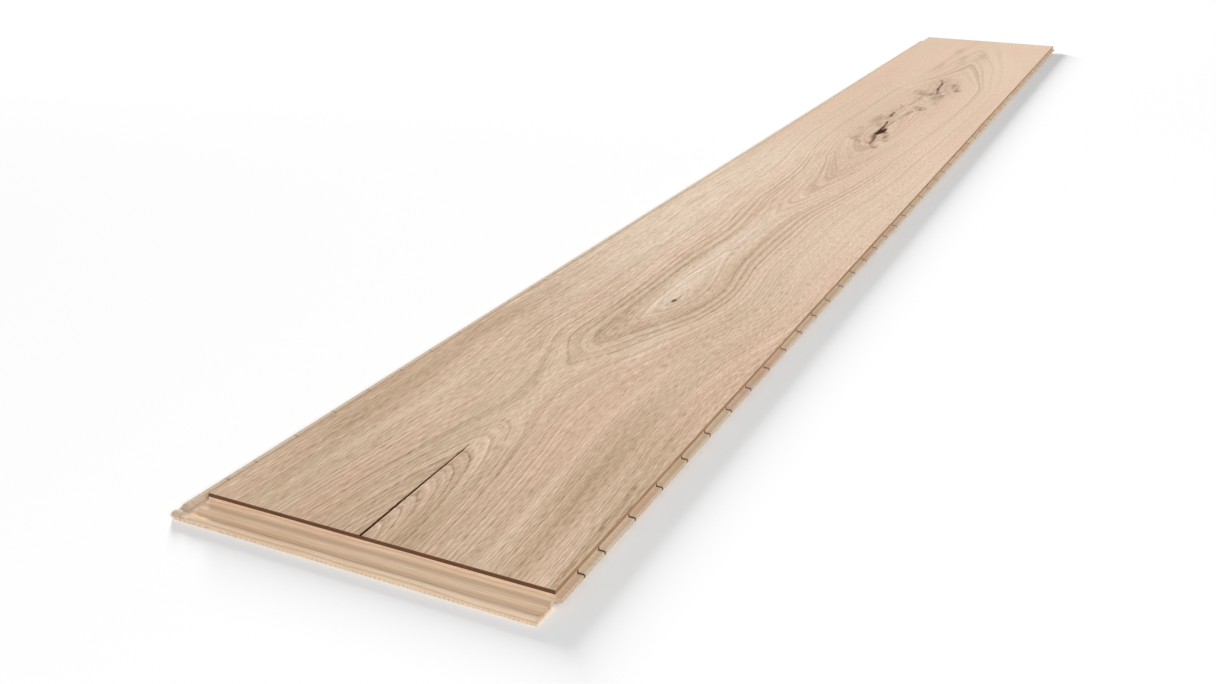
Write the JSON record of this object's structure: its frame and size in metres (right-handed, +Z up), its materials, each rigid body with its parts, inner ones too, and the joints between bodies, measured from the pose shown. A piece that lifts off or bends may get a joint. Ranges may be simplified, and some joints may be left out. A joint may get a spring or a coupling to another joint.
{
  "type": "parquet floorboard",
  "caption": "Wide oak-faced floorboard with a core of crosswise softwood slats, a tongue and a groove, and lower lips that lock to the next boards.",
  "frame": {"origin": "on the floor at the middle of the underside of the board's box", "axes": "+Z up out of the oak face, +Y along the board to the far end, +X across the board to the tongue side"},
  "size_m": [0.2724, 2.2212, 0.011],
  "materials": {
    "oak": "matte oiled oak with dark knots",
    "core": "sawn softwood",
    "back": "plain softwood veneer"
  },
  "bodies": {
    "root": {"oak_wear_layer": "oak", "back_veneer": "back", "core_slat_01": "core", "core_slat_02": "core", "core_slat_03": "core", "core_slat_04": "core", "core_slat_05": "core", "core_slat_06": "core", "core_slat_07": "core", "core_slat_08": "core", "core_slat_09": "core", "core_slat_10": "core", "core_slat_11": "core", "core_slat_12": "core", "core_slat_13": "core", "core_slat_14": "core", "core_slat_15": "core", "core_slat_16": "core", "core_slat_17": "core", "core_slat_18": "core", "core_slat_19": "core", "core_slat_20": "core", "core_slat_21": "core", "core_slat_22": "core", "core_slat_23": "core", "core_slat_24": "core", "core_slat_25": "core", "core_slat_26": "core", "core_slat_27": "core", "core_slat_28": "core", "core_slat_29": "core", "core_slat_30": "core", "core_slat_31": "core", "core_slat_32": "core", "core_slat_33": "core", "core_slat_34": "core", "core_slat_35": "core", "core_slat_36": "core", "core_slat_37": "core", "core_slat_38": "core", "core_slat_39": "core", "core_slat_40": "core", "core_slat_41": "core", "core_slat_42": "core", "core_slat_43": "core", "core_slat_44": "core", "core_slat_45": "core", "core_slat_46": "core", "core_slat_47": "core", "core_slat_48": "core", "core_slat_49": "core", "core_slat_50": "core", "core_slat_51": "core"}
  },
  "joints": []
}
